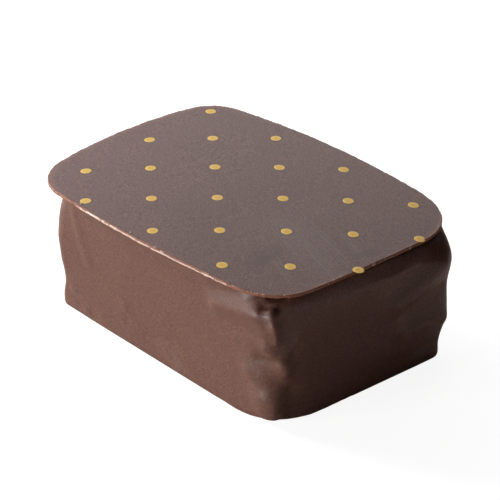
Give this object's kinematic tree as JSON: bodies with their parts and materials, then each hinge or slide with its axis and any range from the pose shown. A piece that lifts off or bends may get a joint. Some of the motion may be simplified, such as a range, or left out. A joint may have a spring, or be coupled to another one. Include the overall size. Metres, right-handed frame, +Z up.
{
  "type": "milk chocolate praline",
  "caption": "Rectangular dipped praline: a milk chocolate block with soft folds, closed by a thin, slightly larger chocolate sheet printed with small gold dots.",
  "frame": {"origin": "middle of the foot's outline, on the ground", "axes": "+X along the long side, towards the short wall that the picture shows; the long wall that the picture shows faces -Y; +Z up"},
  "size_m": [0.0366, 0.0286, 0.0146],
  "materials": {
    "milk_chocolate": "satin poured milk chocolate with soft folds and faint pale specks",
    "printed_face": "satin grey-brown chocolate with fine scratches, reddish brown at its broken edge",
    "gold_print": "flat gold-coloured cocoa butter print"
  },
  "bodies": {
    "root": {"coated_block": "milk_chocolate", "printed_sheet": "printed_face"}
  },
  "joints": []
}
